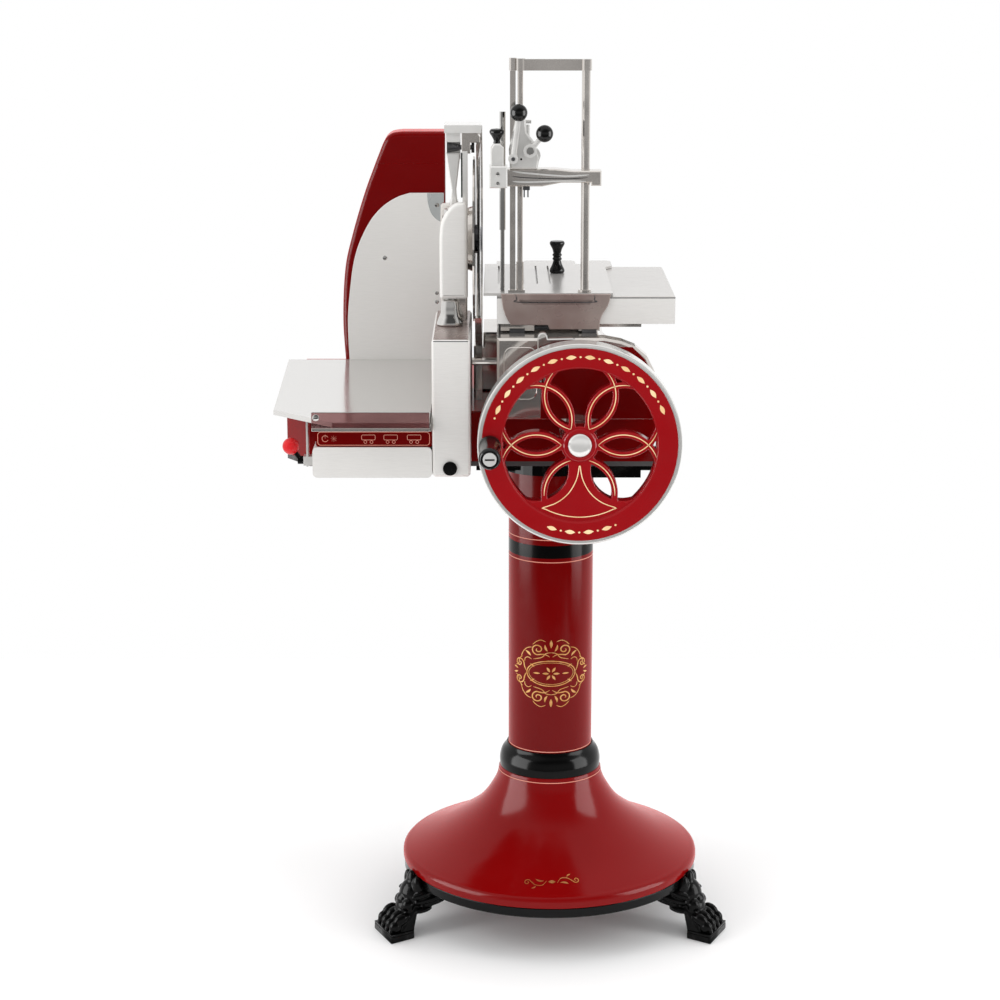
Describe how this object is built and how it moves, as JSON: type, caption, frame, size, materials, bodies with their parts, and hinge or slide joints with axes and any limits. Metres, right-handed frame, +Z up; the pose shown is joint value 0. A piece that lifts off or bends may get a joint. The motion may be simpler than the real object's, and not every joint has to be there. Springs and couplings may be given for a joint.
{
  "type": "hand crank meat slicer",
  "caption": "Flywheel meat slicer with a hand crank, round blade, sliding meat table, clamp on guide posts and receiving tray, on a round cast pedestal with paw feet.",
  "frame": {"origin": "the floor under the middle of the bounding box", "axes": "+Z up, the flywheel and crank face -Y, the receiving tray lies towards -X and the meat table towards +X"},
  "size_m": [0.7798, 0.763, 1.509],
  "materials": {
    "black_iron": "satin black paint",
    "red_paint": "gloss red enamel",
    "polished": "polished",
    "satin_steel": "satin brushed",
    "chrome": "polished",
    "dark_steel": "oiled",
    "black_plastic": "gloss",
    "red_plastic": "gloss",
    "clear_guard": "clear"
  },
  "bodies": {
    "stand_and_machine": {"paw_foot_front_left": "black_iron", "paw_foot_front_right": "black_iron", "paw_foot_rear": "black_iron", "base_ring": "black_iron", "pedestal_bell": "red_paint", "bell_collar": "black_iron", "pedestal_column": "red_paint", "support_plate": "black_iron", "machine_base": "red_paint", "front_pillar": "satin_steel", "pillar_cap": "black_plastic", "lower_front_box": "satin_steel", "control_strip": "red_paint", "tray_rail": "satin_steel", "back_plate": "satin_steel", "red_shell": "red_paint", "gear_housing": "polished", "ratchet_bracket": "chrome", "carriage_rails": "dark_steel", "drive_chain": "dark_steel", "blade_support": "polished", "blade_cover": "polished", "blade_guard_ring": "satin_steel", "sharpener_bracket": "polished", "sharpener_head": "polished", "deflector_post": "chrome", "lever_bracket": "chrome"},
    "flywheel_assembly": {"flywheel": "red_paint", "flywheel_hub_cap": "chrome", "wheel_shaft": "dark_steel", "drive_bevel_gear": "dark_steel", "crank_pin": "chrome", "grip_end_screw": "chrome"},
    "grip": {"crank_grip": "black_plastic"},
    "cross_drive": {"cross_shaft": "dark_steel", "cross_bevel_pinion": "dark_steel"},
    "blade_assembly": {"blade": "chrome", "blade_arbor": "dark_steel"},
    "carriage": {"carriage_frame": "dark_steel", "carriage_cover": "satin_steel"},
    "table": {"meat_table": "satin_steel", "slot_panel": "polished", "guide_posts_left": "polished", "feed_rod": "chrome", "guide_post_right": "polished", "top_crossbar": "satin_steel"},
    "spool": {"spool_knob": "black_plastic"},
    "clamp": {"clamp_arm": "satin_steel", "clamp_bracket": "chrome", "clamp_block": "chrome", "clamp_prongs": "dark_steel"},
    "mushroom": {"clamp_mushroom_knob": "black_plastic"},
    "tall_lever": {"clamp_ball_lever_tall": "black_plastic"},
    "short_lever": {"clamp_ball_lever_short": "black_plastic"},
    "deflector": {"slice_deflector": "polished"},
    "stone": {"sharpening_stone_knob": "dark_steel"},
    "lid": {"shell_lid": "red_paint"},
    "tray": {"receiving_tray": "polished"},
    "guard": {"tray_guard": "clear_guard"},
    "ball_lever": {"red_ball_lever": "red_plastic"}
  },
  "joints": [
    {"name": "flywheel_spin", "type": "hinge", "parent": "stand_and_machine", "child": "flywheel_assembly", "pos_m": [0.12105, -0.1755, 0.911], "axis": [0, 1, 0], "continuous": true},
    {"name": "grip_spin", "type": "hinge", "parent": "flywheel_assembly", "child": "grip", "pos_m": [-0.02194, -0.3255, 0.911], "axis": [0, 1, 0], "continuous": true},
    {"name": "cross_shaft_spin", "type": "hinge", "parent": "stand_and_machine", "child": "cross_drive", "pos_m": [0.00205, 0.0245, 0.911], "axis": [1, 0, 0], "continuous": true},
    {"name": "blade_spin", "type": "hinge", "parent": "stand_and_machine", "child": "blade_assembly", "pos_m": [-0.03995, 0.0245, 1.201], "axis": [1, 0, 0], "continuous": true},
    {"name": "carriage_slide", "type": "slide", "parent": "stand_and_machine", "child": "carriage", "axis": [0, 1, 0], "range_m": [-0.09, 0.15]},
    {"name": "table_feed", "type": "slide", "parent": "carriage", "child": "table", "axis": [1, 0, 0], "range_m": [0, 0.15]},
    {"name": "spool_knob_turn", "type": "hinge", "parent": "table", "child": "spool", "pos_m": [0.09205, 0.1025, 1.15], "axis": [0, 0, 1], "range_deg": [-90, 90]},
    {"name": "clamp_height", "type": "slide", "parent": "table", "child": "clamp", "axis": [0, 0, 1], "range_m": [-0.12, 0.04]},
    {"name": "mushroom_knob_turn", "type": "hinge", "parent": "clamp", "child": "mushroom", "pos_m": [-0.01094, -0.1425, 1.385], "axis": [0, 0, 1], "range_deg": [-180, 180]},
    {"name": "tall_lever_swing", "type": "hinge", "parent": "clamp", "child": "tall_lever", "pos_m": [0.01506, -0.1515, 1.352], "axis": [0, 1, 0], "range_deg": [-15, 10]},
    {"name": "short_lever_swing", "type": "hinge", "parent": "clamp", "child": "short_lever", "pos_m": [0.04206, -0.1515, 1.365], "axis": [0, 1, 0], "range_deg": [0, 45]},
    {"name": "deflector_swing", "type": "hinge", "parent": "stand_and_machine", "child": "deflector", "pos_m": [-0.08894, -0.0615, 1.2], "axis": [0, 0, 1], "range_deg": [-80, 0]},
    {"name": "sharpener_press", "type": "slide", "parent": "stand_and_machine", "child": "stone", "axis": [1, 0, 0], "range_m": [0, 0.003], "stiffness_N_per_m": 800},
    {"name": "shell_lid_hinge", "type": "hinge", "parent": "stand_and_machine", "child": "lid", "pos_m": [-0.22895, 0.3415, 1.29815], "axis": [0, 1, 0], "range_deg": [-75, 0]},
    {"name": "tray_lift", "type": "slide", "parent": "stand_and_machine", "child": "tray", "axis": [0, 0, 1], "range_m": [0, 0.12]},
    {"name": "tray_guard_swing", "type": "hinge", "parent": "stand_and_machine", "child": "guard", "pos_m": [-0.21794, -0.2245, 0.92], "axis": [1, 0, 0], "range_deg": [0, 80]},
    {"name": "red_ball_lever_turn", "type": "hinge", "parent": "stand_and_machine", "child": "ball_lever", "pos_m": [-0.32994, -0.1655, 0.863], "axis": [1, 0, 0], "range_deg": [-60, 60]}
  ],
  "couplings": [
    {"joint": "cross_shaft_spin", "follows": "flywheel_spin", "ratio": -2},
    {"joint": "blade_spin", "follows": "flywheel_spin", "ratio": -3}
  ]
}
